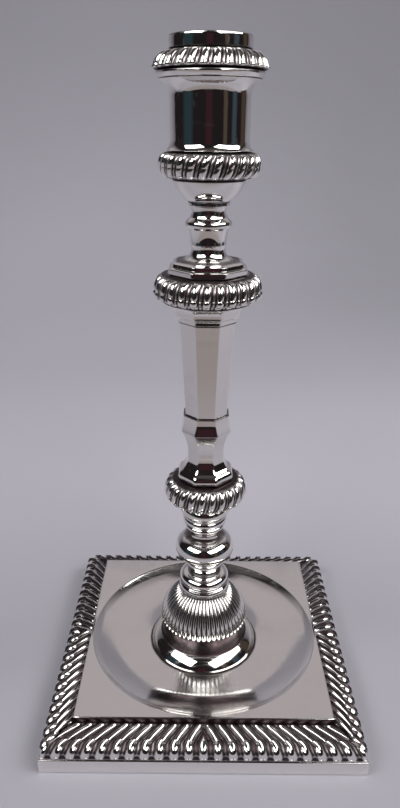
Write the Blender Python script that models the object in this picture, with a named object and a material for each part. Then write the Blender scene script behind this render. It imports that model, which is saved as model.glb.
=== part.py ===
"""Cast silver table candlestick with a square gadrooned foot and a knopped stem.

Frame: metres, +Z up, origin on the table under the middle of the square foot. One flat of
every octagonal section faces -Y. The stem is a stack of hollow turned, faceted and lobed
castings soldered end to end, so each section starts one seam above the one below it.
"""

import math

import bmesh
import bpy
from mathutils import Vector

MM = 0.001

# Clearances
SEAM = 0.3 * MM             # between two neighbouring pieces

# Square foot
BASE_WIDTH = 115.8 * MM
PLINTH_HEIGHT = 5.8 * MM
PLINTH_WALL = 3.0 * MM      # thickness of the plinth's upright sides
BORDER_WIDTH = 10.6 * MM    # from the plinth's outer face in to the raised plate
BORDER_RISE = 6.4 * MM      # from the top of the plinth to the foot of the plate's edge
BORDER_BEZEL = 0.4 * MM     # from the plinth's face in to the border strip
BORDER_LEDGE = 1.3 * MM     # from the plinth's face in to the foot of the lobes
BORDER_SWELL = 1.6 * MM     # bulge of the border's lobes above its straight slope
BORDER_WALL = 2.0 * MM
BORDER_LOBES = 22           # large lobes along one side
BORDER_GROOVE = 0.8 * MM    # depth between two lobes
PLATE_STEP = 2.3 * MM       # height of the plate's upright edge above the border
PLATE_WALL = 1.8 * MM
WELL_MARGIN = 2.6 * MM      # narrowest land between the well and the plate's edge
WELL_ROLL = 1.0 * MM        # rounding of the land into the well
WELL_WALL = 2.8 * MM        # how far in the well's hollow wall reaches
WELL_DEPTH = 3.5 * MM       # below the plate's top, at the foot of the well's wall
WELL_DISH = 2.0 * MM        # further fall of the well's floor to its lowest circle
WELL_RISE = 0.6 * MM        # from the lowest circle back up to the stem
WELL_LOWEST = 0.46          # the lowest circle, as a share of the way from the stem to the wall

# Foot of the stem
CAST_WALL = 1.6 * MM        # thinnest wall of the hollow castings
DOME_RADIUS = 17.2 * MM
DOME_HEIGHT = 14.6 * MM
DOME_TOP = 9.4 * MM
DOME_FLUTES = 24
FLUTE_DEPTH = 0.5 * MM
FOOT_SPREAD = 4.5 * MM      # foot ring's seat past the dome's radius
FOOT_HEIGHT = 11.9 * MM

# Stem. Octagonal sizes are apothems.
COLLAR_RADIUS = 10.2 * MM
COLLAR_HEIGHT = 8.1 * MM
NECK_FOOT = 6.0 * MM        # radius of the trumpet neck where it leaves the collar
TRUMPET_HEIGHT = 7.0 * MM
BALL_RADIUS = 11.4 * MM
BALL_HEIGHT = 8.6 * MM
REEL_FOOT = 5.9 * MM        # radius of the reel's own neck
REEL_RADIUS = 9.1 * MM
REEL_HEIGHT = 14.8 * MM
KNOP_RADIUS = 15.4 * MM
KNOP_HEIGHT = 11.2 * MM
KNOP_END = 10.3 * MM
KNOP_LOBES = 24
BALUSTER_FOOT = 9.9 * MM
BALUSTER_WAIST = 6.6 * MM
BALUSTER_COLLAR = 9.1 * MM
BALUSTER_HEIGHT = 25.6 * MM
SHAFT_FOOT = 7.4 * MM
SHAFT_TOP = 9.6 * MM
SHAFT_HEIGHT = 34.5 * MM
CAPITAL_RADIUS = 14.0 * MM
CAPITAL_HEIGHT = 6.3 * MM
SHOULDER_RADIUS = 18.4 * MM
SHOULDER_HEIGHT = 9.6 * MM
SHOULDER_END = 14.5 * MM
SHOULDER_LOBES = 26
CUSHION_TOP = 10.2 * MM
CUSHION_HEIGHT = 3.8 * MM
NECK_RADIUS = 5.9 * MM
NECK_RING = 7.45 * MM
NECK_HEIGHT = 18.4 * MM

# Candle socket. Everything around the candle follows its bore.
CANDLE_BORE = 11.3 * MM     # radius, for a candle 22 mm thick
CANDLE_DEPTH = 31.8 * MM    # from the seat up to the mouth
SOCKET_WALL = 1.4 * MM
SEAT_THICKNESS = 1.4 * MM
SEAT_LEDGE = 2.0 * MM       # how far the socket's lower ring reaches in under the seat
BOWL_HEIGHT = 6.4 * MM
SOCKET_SWELL = 4.9 * MM     # lower gadroon ring past the bore
SOCKET_RING_HEIGHT = 8.3 * MM
SOCKET_LOBES = 24
TUBE_FLARE = 4.7 * MM       # top of the tube past the bore
RIM_SWELL = 6.2 * MM        # upper gadroon ring past the bore
RIM_BAND = 1.9 * MM         # plain lip under the rim's lobes
RIM_HEIGHT = 7.8 * MM
RIM_LOBES = 28
MOUTH_HEIGHT = 3.4 * MM

# Working of the surface
LOBE_GROOVE = 1.0 * MM      # depth between two lobes of a gadroon ring
LOBE_SLANT = math.radians(10.0)
ROUND_SIDES = 32
OCTAGON = 8
ARC_POINTS = 2              # inner points of each arc of an outline

SILVER = (0.80, 0.78, 0.75, 1.0)
TARNISHED = (0.56, 0.53, 0.51, 1.0)

# Places that follow from the sizes
HALF_BASE = BASE_WIDTH / 2
HALF_PLATE = HALF_BASE - BORDER_WIDTH
PLATE_TOP = PLINTH_HEIGHT + BORDER_RISE + PLATE_STEP
WELL_RADIUS = HALF_PLATE - WELL_MARGIN
WELL_FLOOR = PLATE_TOP - WELL_DEPTH - WELL_DISH + WELL_RISE
FOOT_RADIUS = DOME_RADIUS + FOOT_SPREAD
FOOT_BORE = DOME_RADIUS - CAST_WALL
TUBE_HEIGHT = CANDLE_DEPTH - RIM_HEIGHT - MOUTH_HEIGHT - 3 * SEAM


def clear_scene():
    for item in list(bpy.data.objects):
        bpy.data.objects.remove(item, do_unlink=True)


def silver(name, colour, roughness):
    material = bpy.data.materials.new(name + "_silver")
    material.use_nodes = True
    shader = material.node_tree.nodes["Principled BSDF"]
    shader.inputs["Base Color"].default_value = colour
    shader.inputs["Metallic"].default_value = 1.0
    shader.inputs["Roughness"].default_value = roughness
    material.diffuse_color = colour
    return material


def make_object(name, shape, colour=SILVER, roughness=0.12):
    """Turns a bmesh into an object with a material of its own."""
    bmesh.ops.recalc_face_normals(shape, faces=shape.faces)
    mesh = bpy.data.meshes.new(name)
    shape.to_mesh(mesh)
    shape.free()
    mesh.materials.append(silver(name, colour, roughness))
    mesh.shade_smooth()
    mesh.set_sharp_from_angle(angle=math.radians(32))
    item = bpy.data.objects.new(name, mesh)
    bpy.context.scene.collection.objects.link(item)
    return item


def arc(start, end, sagitta):
    """Inner points of the circular arc from start to end, bulging by sagitta to its right."""
    first, last = Vector(start), Vector(end)
    along = (last - first).normalized()
    right = Vector((along.y, -along.x))
    chord = (last - first).length
    half = 2.0 * math.atan(2.0 * sagitta / chord)
    radius = chord / (2.0 * math.sin(half))
    centre = (first + last) / 2 - right * radius * math.cos(half)
    points = []
    for step in range(1, ARC_POINTS + 1):
        turn = half * (2.0 * step / (ARC_POINTS + 1) - 1.0)
        spot = centre + radius * (right * math.cos(turn) + along * math.sin(turn))
        points.append((spot.x, spot.y))
    return points


def outline(base, *items):
    """An outline in (radius, height above base).

    Each item is a point, or the sagitta of the arc that joins the points on either side of it.
    On a line that runs up the outside, a positive sagitta bulges outward.
    """
    points = []
    sagitta = None
    for item in items:
        if isinstance(item, tuple):
            point = (item[0], base + item[1])
            if sagitta is not None:
                points += arc(points[-1], point, sagitta)
            points.append(point)
            sagitta = None
        else:
            sagitta = item
    return points


def spun(profile, sides, scale=1.0, start=0.0):
    """Spins a closed profile about Z into a closed ring."""
    ring = bmesh.new()
    verts = []
    for radius, height in profile:
        across = radius * scale
        verts.append(ring.verts.new((across * math.cos(start), across * math.sin(start), height)))
    edges = [ring.edges.new((verts[i - 1], verts[i])) for i in range(len(verts))]
    bmesh.ops.spin(ring, geom=verts + edges, axis=(0, 0, 1), cent=(0, 0, 0),
                   angle=math.tau, steps=sides, use_merge=True)
    bmesh.ops.remove_doubles(ring, verts=ring.verts, dist=0.001 * MM)
    return ring


def straight(outer, radius):
    """The two ends of a straight hollow inside an outline."""
    return [(radius, outer[-1][1]), (radius, outer[0][1])]


def hollow(outer):
    """A straight hollow that leaves the casting's wall at the outline's narrowest place."""
    return straight(outer, min(radius for radius, _ in outer) - CAST_WALL)


def turned(name, outer, inner):
    """A round section: outer runs up the outside, inner runs down the hollow."""
    return make_object(name, spun(outer + inner, ROUND_SIDES))


def faceted(name, outer):
    """A hollow octagonal section whose sizes are apothems."""
    corner = 1.0 / math.cos(math.pi / OCTAGON)
    profile = outer + hollow(outer)
    return make_object(name, spun(profile, OCTAGON, corner, math.pi / OCTAGON))


def lobed(name, outer, inner, lobes, groove, slant):
    """A round section whose outside is cut by slanting grooves that fade at its two ends."""
    ring = spun(outer + inner, 2 * lobes)
    low, high = outer[0][1], outer[-1][1]
    hollow = max(radius for radius, _ in inner)
    pitch = math.pi / lobes
    for vert in ring.verts:
        rise = (vert.co.z - low) / (high - low)
        radius = vert.co.xy.length
        angle = math.atan2(vert.co.y, vert.co.x)
        fade = math.sin(math.pi * min(max(rise, 0.0), 1.0))
        if radius > hollow + groove and round(angle / pitch) % 2:
            radius -= groove * fade
        angle += slant * (rise - 0.5)
        vert.co.x = radius * math.cos(angle)
        vert.co.y = radius * math.sin(angle)
    return make_object(name, ring, TARNISHED, 0.25)


def square_loop(shape, half, height, count):
    """Points of a horizontal square ring at even angles, with its corners among them."""
    verts = []
    for step in range(count):
        angle = math.tau * step / count
        reach = half / max(abs(math.cos(angle)), abs(math.sin(angle)))
        verts.append(shape.verts.new((reach * math.cos(angle), reach * math.sin(angle), height)))
    return verts


def round_loop(shape, radius, height, count):
    verts = []
    for step in range(count):
        angle = math.tau * step / count
        verts.append(shape.verts.new((radius * math.cos(angle), radius * math.sin(angle), height)))
    return verts


def skinned(shape, loops):
    """Joins each loop to the next, and the last to the first."""
    for index, loop in enumerate(loops):
        before = loops[index - 1]
        for step in range(len(loop)):
            corners = (before[step - 1], before[step], loop[step], loop[step - 1])
            shape.faces.new(corners)


def well_section(drop):
    """The well in section from its rim to the stem, lowered by drop for the plate's underside."""
    rim = WELL_RADIUS + WELL_ROLL
    wall_foot = WELL_RADIUS - WELL_WALL
    lowest = FOOT_RADIUS + WELL_LOWEST * (wall_foot - FOOT_RADIUS)
    return outline(
        PLATE_TOP - drop,
        (rim, 0.0), 0.3 * WELL_ROLL,
        (WELL_RADIUS, -WELL_ROLL), -0.12 * WELL_WALL,
        (wall_foot, -WELL_DEPTH), -0.23 * WELL_DISH,
        (lowest, -WELL_DEPTH - WELL_DISH), -0.25 * WELL_RISE,
        (FOOT_RADIUS + SEAM, WELL_FLOOR - PLATE_TOP),
        (FOOT_BORE, WELL_FLOOR - PLATE_TOP),
    )


def base_plate():
    """Square raised plate with a round dished well and an opening under the stem."""
    shape = bmesh.new()
    half = HALF_PLATE - SEAM
    loops = [
        square_loop(shape, half, PLATE_TOP - PLATE_STEP, ROUND_SIDES),
        square_loop(shape, half, PLATE_TOP, ROUND_SIDES),
    ]
    for radius, height in well_section(0.0):
        loops.append(round_loop(shape, radius, height, ROUND_SIDES))
    for radius, height in reversed(well_section(PLATE_WALL)):
        loops.append(round_loop(shape, radius, height, ROUND_SIDES))
    skinned(shape, loops)
    make_object("base_plate", shape)


def side_strip(name, section, turn, stations=1, groove=0.0):
    """One mitred side of the foot.

    section gives (inset from the outer face, height) around the strip's cross-section.
    """
    shape = bmesh.new()
    rows = []
    for station in range(stations + 1):
        share = 2.0 * station / stations - 1.0
        row = []
        for index, (inset, height) in enumerate(section):
            reach = HALF_BASE - inset
            along = share * (reach - SEAM / 2)
            worked = station % 2 and 1 < index < ARC_POINTS + 2
            spot = (along, -reach, height - (groove if worked else 0.0))
            row.append(shape.verts.new(spot))
        rows.append(row)
    for before, row in zip(rows, rows[1:]):
        for index in range(len(row)):
            shape.faces.new((before[index - 1], before[index], row[index], row[index - 1]))
    shape.faces.new(rows[0])
    shape.faces.new(rows[-1])
    item = make_object(name, shape, TARNISHED if groove else SILVER)
    item.rotation_euler.z = turn
    return item


def square_foot():
    """Plinth and gadroon border, each of four mitred sides, and the plate they carry."""
    plinth = [
        (0.0, 0.0),
        (0.0, PLINTH_HEIGHT),
        (PLINTH_WALL, PLINTH_HEIGHT),
        (PLINTH_WALL, 0.0),
    ]
    foot = PLINTH_HEIGHT + SEAM
    head = PLINTH_HEIGHT + BORDER_RISE - SEAM
    crown = outline(0.0, (BORDER_LEDGE, foot + 0.5 * MM), -BORDER_SWELL, (BORDER_WIDTH, head))
    seat = BORDER_WIDTH + WELL_MARGIN - WELL_ROLL - SEAM
    border = [(BORDER_BEZEL, foot)]
    border += crown
    border += [(seat, head), (seat, head - BORDER_WALL), (BORDER_LEDGE + BORDER_WALL, foot)]
    sides = ("front", "right", "back", "left")
    for index, side in enumerate(sides):
        turn = index * math.pi / 2
        side_strip("plinth_" + side, plinth, turn)
        side_strip("gadroon_border_" + side, border, turn, 2 * BORDER_LOBES, BORDER_GROOVE)
    base_plate()


def foot_ring(base):
    """Plain polished skirt that spreads from the dome down to the well's floor."""
    outer = outline(
        base,
        (FOOT_RADIUS - 0.4 * MM, 0.0),
        (FOOT_RADIUS, 0.05 * FOOT_HEIGHT), 0.03 * FOOT_HEIGHT,
        (DOME_RADIUS + 0.5 * MM, 0.42 * FOOT_HEIGHT), -0.02 * FOOT_HEIGHT,
        (DOME_RADIUS - 0.2 * MM, 0.55 * FOOT_HEIGHT),
        (DOME_RADIUS - 0.2 * MM, FOOT_HEIGHT),
    )
    turned("foot_ring", outer, straight(outer, FOOT_BORE))
    return base + FOOT_HEIGHT + SEAM


def fluted_dome(base):
    swell = 0.15 * DOME_HEIGHT
    outer = outline(base, (DOME_RADIUS, 0.0), swell, (DOME_TOP, DOME_HEIGHT))
    inner = outline(
        base,
        (DOME_TOP - CAST_WALL, DOME_HEIGHT), -swell,
        (FOOT_BORE, 0.0),
    )
    lobed("fluted_dome", outer, inner, DOME_FLUTES, FLUTE_DEPTH, 0.0)
    return base + DOME_HEIGHT + SEAM


def dome_collar(base):
    """Two-tier collar between the dome and the trumpet neck."""
    shoulder = COLLAR_RADIUS - 0.7 * MM
    outer = outline(
        base,
        (COLLAR_RADIUS - 0.4 * MM, 0.0), 0.05 * COLLAR_HEIGHT,
        (COLLAR_RADIUS - 0.4 * MM, 0.3 * COLLAR_HEIGHT),
        (shoulder - 0.4 * MM, 0.36 * COLLAR_HEIGHT), 0.16 * COLLAR_HEIGHT,
        (shoulder - 1.6 * MM, 0.9 * COLLAR_HEIGHT),
        (NECK_FOOT + 0.6 * MM, 0.92 * COLLAR_HEIGHT),
        (NECK_FOOT + 0.6 * MM, COLLAR_HEIGHT),
    )
    turned("dome_collar", outer, hollow(outer))
    return base + COLLAR_HEIGHT + SEAM


def trumpet_neck(base):
    """Neck that flares up to the ball, with a fillet round its middle."""
    waist = 0.3 * TRUMPET_HEIGHT
    outer = outline(
        base,
        (NECK_FOOT, 0.0), -0.02 * TRUMPET_HEIGHT,
        (NECK_FOOT + 0.3 * MM, waist),
        (NECK_FOOT + 0.9 * MM, waist + 0.06 * TRUMPET_HEIGHT), 0.04 * TRUMPET_HEIGHT,
        (NECK_FOOT + 1.3 * MM, waist + 0.3 * TRUMPET_HEIGHT), -0.03 * TRUMPET_HEIGHT,
        (BALL_RADIUS - 2.8 * MM, TRUMPET_HEIGHT),
    )
    turned("trumpet_neck", outer, hollow(outer))
    return base + TRUMPET_HEIGHT + SEAM


def ball_knop(base):
    outer = outline(
        base,
        (BALL_RADIUS - 2.0 * MM, 0.0), 0.05 * BALL_HEIGHT,
        (BALL_RADIUS, 0.26 * BALL_HEIGHT), 0.24 * BALL_HEIGHT,
        (REEL_FOOT + 0.4 * MM, BALL_HEIGHT),
    )
    turned("ball_knop", outer, straight(outer, NECK_FOOT - CAST_WALL))
    return base + BALL_HEIGHT + SEAM


def ringed_reel(base):
    """Neck with a fillet and two rings, below the gadroon knop."""
    fillet = REEL_FOOT + 1.4 * MM
    outer = outline(
        base,
        (REEL_FOOT, 0.0), -0.03 * REEL_HEIGHT,
        (REEL_FOOT + 0.2 * MM, 0.22 * REEL_HEIGHT),
        (fillet, 0.26 * REEL_HEIGHT), 0.03 * REEL_HEIGHT,
        (fillet, 0.38 * REEL_HEIGHT),
        (REEL_RADIUS - 1.2 * MM, 0.42 * REEL_HEIGHT), 0.04 * REEL_HEIGHT,
        (REEL_RADIUS - 1.0 * MM, 0.6 * REEL_HEIGHT),
        (REEL_RADIUS - 0.8 * MM, 0.64 * REEL_HEIGHT), 0.06 * REEL_HEIGHT,
        (REEL_RADIUS - 0.6 * MM, 0.94 * REEL_HEIGHT),
        (REEL_RADIUS - 0.6 * MM, REEL_HEIGHT),
    )
    turned("ringed_reel", outer, hollow(outer))
    return base + REEL_HEIGHT + SEAM


def gadroon_knop(base):
    outer = outline(
        base,
        (KNOP_END - 1.0 * MM, 0.0), 0.09 * KNOP_HEIGHT,
        (KNOP_RADIUS, 0.36 * KNOP_HEIGHT), 0.2 * KNOP_HEIGHT,
        (KNOP_END, KNOP_HEIGHT),
    )
    lobed("gadroon_knop", outer, hollow(outer), KNOP_LOBES, LOBE_GROOVE, LOBE_SLANT)
    return base + KNOP_HEIGHT + SEAM


def octagonal_baluster(base):
    """Bell foot, waist and collar under the long shaft."""
    collar = 0.76 * BALUSTER_HEIGHT
    outer = outline(
        base,
        (BALUSTER_FOOT, 0.0), 0.03 * BALUSTER_HEIGHT,
        (BALUSTER_FOOT - 1.2 * MM, 0.14 * BALUSTER_HEIGHT), -0.03 * BALUSTER_HEIGHT,
        (BALUSTER_WAIST, 0.38 * BALUSTER_HEIGHT), -0.03 * BALUSTER_HEIGHT,
        (BALUSTER_COLLAR, collar),
        (BALUSTER_COLLAR, 0.92 * BALUSTER_HEIGHT),
        (SHAFT_FOOT + 0.8 * MM, 0.94 * BALUSTER_HEIGHT),
        (SHAFT_FOOT + 0.8 * MM, BALUSTER_HEIGHT),
    )
    faceted("octagonal_baluster", outer)
    return base + BALUSTER_HEIGHT + SEAM


def octagonal_shaft(base):
    outer = outline(base, (SHAFT_FOOT, 0.0), (SHAFT_TOP, SHAFT_HEIGHT))
    faceted("octagonal_shaft", outer)
    return base + SHAFT_HEIGHT + SEAM


def octagonal_capital(base):
    """Stepped cornice and cavetto on top of the shaft."""
    outer = outline(
        base,
        (SHAFT_TOP + 0.5 * MM, 0.0),
        (SHAFT_TOP + 0.5 * MM, 0.2 * CAPITAL_HEIGHT),
        (SHAFT_TOP + 1.4 * MM, 0.35 * CAPITAL_HEIGHT),
        (SHAFT_TOP + 1.4 * MM, 0.55 * CAPITAL_HEIGHT), -0.1 * CAPITAL_HEIGHT,
        (CAPITAL_RADIUS, CAPITAL_HEIGHT),
    )
    faceted("octagonal_capital", outer)
    return base + CAPITAL_HEIGHT + SEAM


def gadroon_shoulder(base):
    lip = 0.12 * SHOULDER_HEIGHT
    outer = outline(
        base,
        (SHOULDER_RADIUS - 2.4 * MM, 0.0),
        (SHOULDER_RADIUS - 2.0 * MM, lip), 0.12 * SHOULDER_HEIGHT,
        (SHOULDER_RADIUS, 0.4 * SHOULDER_HEIGHT), 0.14 * SHOULDER_HEIGHT,
        (SHOULDER_END, SHOULDER_HEIGHT),
    )
    inner = straight(outer, SHOULDER_END - 2 * CAST_WALL)
    lobed("gadroon_shoulder", outer, inner, SHOULDER_LOBES, LOBE_GROOVE, LOBE_SLANT)
    return base + SHOULDER_HEIGHT + SEAM


def octagonal_cushion(base):
    """Low octagonal cushion that the upper neck stands on."""
    outer = outline(
        base,
        (SHOULDER_END - 0.9 * MM, 0.0),
        (SHOULDER_END - 1.3 * MM, 0.52 * CUSHION_HEIGHT), 0.05 * CUSHION_HEIGHT,
        (CUSHION_TOP, CUSHION_HEIGHT),
    )
    faceted("octagonal_cushion", outer)
    return base + CUSHION_HEIGHT + SEAM


def ringed_neck(base):
    """Concave neck with a ring, a step and a fillet under the bowl."""
    outer = outline(
        base,
        (CUSHION_TOP - 0.8 * MM, 0.0), -0.09 * NECK_HEIGHT,
        (NECK_RADIUS + 0.2 * MM, 0.27 * NECK_HEIGHT), -0.01 * NECK_HEIGHT,
        (NECK_RING - 0.8 * MM, 0.54 * NECK_HEIGHT),
        (NECK_RING, 0.57 * NECK_HEIGHT), 0.02 * NECK_HEIGHT,
        (NECK_RING, 0.68 * NECK_HEIGHT),
        (NECK_RADIUS + 0.3 * MM, 0.74 * NECK_HEIGHT), -0.02 * NECK_HEIGHT,
        (NECK_RADIUS + 0.1 * MM, 0.92 * NECK_HEIGHT),
        (NECK_RADIUS + 0.9 * MM, 0.94 * NECK_HEIGHT),
        (NECK_RADIUS + 0.9 * MM, NECK_HEIGHT),
    )
    turned("ringed_neck", outer, hollow(outer))
    return base + NECK_HEIGHT + SEAM


def socket_bowl(base):
    top = CANDLE_BORE + 0.6 * MM
    outer = outline(base, (NECK_RADIUS + 0.9 * MM, 0.0), 0.12 * BOWL_HEIGHT, (top, BOWL_HEIGHT))
    turned("socket_bowl", outer, hollow(outer))
    return base + BOWL_HEIGHT + SEAM


def gadroon_socket_ring(base):
    """Lower ring of the socket, whose inward ledge carries the candle seat."""
    wide = CANDLE_BORE + SOCKET_SWELL
    floor = base + SOCKET_RING_HEIGHT - SEAT_THICKNESS - SEAM
    outer = outline(
        base,
        (CANDLE_BORE + 1.0 * MM, 0.0), 0.16 * SOCKET_RING_HEIGHT,
        (wide, 0.45 * SOCKET_RING_HEIGHT), 0.14 * SOCKET_RING_HEIGHT,
        (CANDLE_BORE + SOCKET_WALL + 1.0 * MM, SOCKET_RING_HEIGHT),
    )
    inner = [
        (CANDLE_BORE, base + SOCKET_RING_HEIGHT),
        (CANDLE_BORE, floor),
        (CANDLE_BORE - SEAT_LEDGE, floor),
        (CANDLE_BORE - SEAT_LEDGE, base),
    ]
    lobed("gadroon_socket_ring", outer, inner, SOCKET_LOBES, LOBE_GROOVE, LOBE_SLANT)
    seat = outline(
        floor + SEAM,
        (CANDLE_BORE - SEAM, 0.0),
        (CANDLE_BORE - SEAM, SEAT_THICKNESS),
    )
    candle_seat(seat)
    return base + SOCKET_RING_HEIGHT + SEAM


def candle_seat(edge):
    """Round plate that closes the candle bore from below."""
    shape = bmesh.new()
    low = round_loop(shape, edge[0][0], edge[0][1], ROUND_SIDES)
    high = round_loop(shape, edge[1][0], edge[1][1], ROUND_SIDES)
    for step in range(ROUND_SIDES):
        shape.faces.new((low[step - 1], low[step], high[step], high[step - 1]))
    shape.faces.new(low)
    shape.faces.new(high)
    make_object("candle_seat", shape)


def socket_tube(base):
    tube = CANDLE_BORE + SOCKET_WALL
    outer = outline(
        base,
        (tube + 1.1 * MM, 0.0), -0.016 * TUBE_HEIGHT,
        (tube - 0.1 * MM, 0.24 * TUBE_HEIGHT),
        (tube - 0.1 * MM, 0.72 * TUBE_HEIGHT), -0.012 * TUBE_HEIGHT,
        (tube + 0.7 * MM, 0.88 * TUBE_HEIGHT), -0.015 * TUBE_HEIGHT,
        (CANDLE_BORE + TUBE_FLARE, TUBE_HEIGHT),
    )
    turned("socket_tube", outer, straight(outer, CANDLE_BORE))
    return base + TUBE_HEIGHT + SEAM


def gadroon_rim(base):
    """Plain lip and slanting lobes around the top of the socket."""
    lip = CANDLE_BORE + RIM_SWELL - 0.9 * MM
    plain = outline(
        base,
        (lip - 1.1 * MM, 0.0), 0.1 * RIM_BAND,
        (lip, 0.75 * RIM_BAND),
        (lip - 0.1 * MM, RIM_BAND),
    )
    turned("rim_lip", plain, straight(plain, CANDLE_BORE))
    foot = base + RIM_BAND + SEAM
    rise = RIM_HEIGHT - RIM_BAND - SEAM
    outer = outline(
        foot,
        (lip + 0.3 * MM, 0.0), 0.1 * rise,
        (CANDLE_BORE + RIM_SWELL, 0.3 * rise), 0.16 * rise,
        (CANDLE_BORE + SOCKET_WALL + 0.4 * MM, rise),
    )
    lobed("gadroon_rim", outer, straight(outer, CANDLE_BORE), RIM_LOBES, LOBE_GROOVE, LOBE_SLANT)
    return base + RIM_HEIGHT + SEAM


def mouth_collar(base):
    tube = CANDLE_BORE + SOCKET_WALL
    outer = outline(
        base,
        (tube - 0.1 * MM, 0.0),
        (tube, 0.8 * MOUTH_HEIGHT),
        (tube - 0.4 * MM, MOUTH_HEIGHT),
    )
    turned("mouth_collar", outer, straight(outer, CANDLE_BORE))
    return base + MOUTH_HEIGHT


STEM = (
    foot_ring,
    fluted_dome,
    dome_collar,
    trumpet_neck,
    ball_knop,
    ringed_reel,
    gadroon_knop,
    octagonal_baluster,
    octagonal_shaft,
    octagonal_capital,
    gadroon_shoulder,
    octagonal_cushion,
    ringed_neck,
    socket_bowl,
    gadroon_socket_ring,
    socket_tube,
    gadroon_rim,
    mouth_collar,
)


def main():
    clear_scene()
    square_foot()
    height = WELL_FLOOR + SEAM
    for section in STEM:
        height = section(height)


main()
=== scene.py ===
"""Looks of a cast silver table candlestick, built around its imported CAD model.

Every CAD node is replaced by one finely modelled piece. Heights come from the node's own box,
radii are named sizes in millimetres, and the worked lobes, flutes and border are carved by
Geometry Nodes trees whose result is baked to plain meshes.
"""

import logging
import math
from dataclasses import dataclass, field
from enum import Enum
from typing import Any, Callable, Sequence

import bpy
from mathutils import Matrix, Vector


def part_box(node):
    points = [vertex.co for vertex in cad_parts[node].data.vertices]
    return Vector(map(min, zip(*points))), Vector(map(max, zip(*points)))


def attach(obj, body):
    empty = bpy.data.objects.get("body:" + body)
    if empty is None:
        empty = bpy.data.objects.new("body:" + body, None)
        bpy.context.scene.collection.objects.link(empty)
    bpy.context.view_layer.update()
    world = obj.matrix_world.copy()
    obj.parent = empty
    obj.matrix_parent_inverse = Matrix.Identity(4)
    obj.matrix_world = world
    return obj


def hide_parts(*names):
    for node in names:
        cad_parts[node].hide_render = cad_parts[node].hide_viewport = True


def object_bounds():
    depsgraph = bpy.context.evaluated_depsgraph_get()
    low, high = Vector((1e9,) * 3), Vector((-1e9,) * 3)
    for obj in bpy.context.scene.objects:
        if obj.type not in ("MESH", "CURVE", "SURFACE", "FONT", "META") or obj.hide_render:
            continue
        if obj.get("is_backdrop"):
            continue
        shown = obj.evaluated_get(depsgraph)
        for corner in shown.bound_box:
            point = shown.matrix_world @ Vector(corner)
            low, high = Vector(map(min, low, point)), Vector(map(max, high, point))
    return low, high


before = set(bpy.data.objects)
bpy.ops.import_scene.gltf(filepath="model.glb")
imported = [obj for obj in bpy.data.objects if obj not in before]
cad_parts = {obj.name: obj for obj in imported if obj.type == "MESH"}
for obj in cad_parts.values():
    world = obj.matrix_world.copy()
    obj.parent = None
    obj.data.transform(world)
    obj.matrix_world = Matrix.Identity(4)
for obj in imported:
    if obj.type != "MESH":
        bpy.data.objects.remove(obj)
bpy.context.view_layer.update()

log = logging.getLogger("candlestick")

MM = 0.001
ROOT = "root"
ROUND_SIDES = 144
ARC_STEPS = 12
OCTAGON = 8
CREASE = math.radians(50.0)  # a sharper bend than this stays a crisp edge
BLACK = (0.0, 0.0, 0.0, 1.0)

# Joints between castings, in millimetres
SOLDER = 0.14                # how far each casting grows into a joint
FADE = 0.9                   # tarnish lost per millimetre away from a joint

# Shares of a lobe
CROWN = 0.62                 # power that shapes its round crown
BULB = 0.3                   # part of the border's width where lobes stand upright
END_DROP = 0.35              # how far its ends sink, of the groove's depth
# Darkness where a lobe ends: painted shadow along the ledge, with some joint tarnish
END_SHADE_AND_TARNISH = 0.7

Point = tuple[float, float]
Spot = tuple[float, float, float]
Colour = tuple[float, float, float]


class Slot(Enum):
    """Material slots of the record."""

    POLISHED = "polished_silver"
    WORKED = "worked_silver"


class Side(Enum):
    """Sides of the square foot, as quarter turns from the front."""

    FRONT = 0
    RIGHT = 1
    BACK = 2
    LEFT = 3


# Node graphs


class Wire:
    """An output socket on which sums are written as Python expressions."""

    def __init__(self, graph: "Graph", socket: bpy.types.NodeSocket) -> None:
        """Keeps the graph that new Math nodes go into, and the socket itself."""
        self.graph = graph
        self.socket = socket

    def __add__(self, other: "Wire | float") -> "Wire":
        """Sum of two values."""
        return self.graph.math("ADD", self, other)

    def __radd__(self, other: float) -> "Wire":
        """Sum with a number on the left."""
        return self.graph.math("ADD", other, self)

    def __sub__(self, other: "Wire | float") -> "Wire":
        """Difference of two values."""
        return self.graph.math("SUBTRACT", self, other)

    def __rsub__(self, other: float) -> "Wire":
        """Difference with a number on the left."""
        return self.graph.math("SUBTRACT", other, self)

    def __mul__(self, other: "Wire | float") -> "Wire":
        """Product of two values."""
        return self.graph.math("MULTIPLY", self, other)

    def __rmul__(self, other: float) -> "Wire":
        """Product with a number on the left."""
        return self.graph.math("MULTIPLY", other, self)

    def __truediv__(self, other: "Wire | float") -> "Wire":
        """Quotient of two values."""
        return self.graph.math("DIVIDE", self, other)

    def __pow__(self, other: float) -> "Wire":
        """Power of a value that is not negative."""
        return self.graph.math("POWER", self, other)


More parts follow.
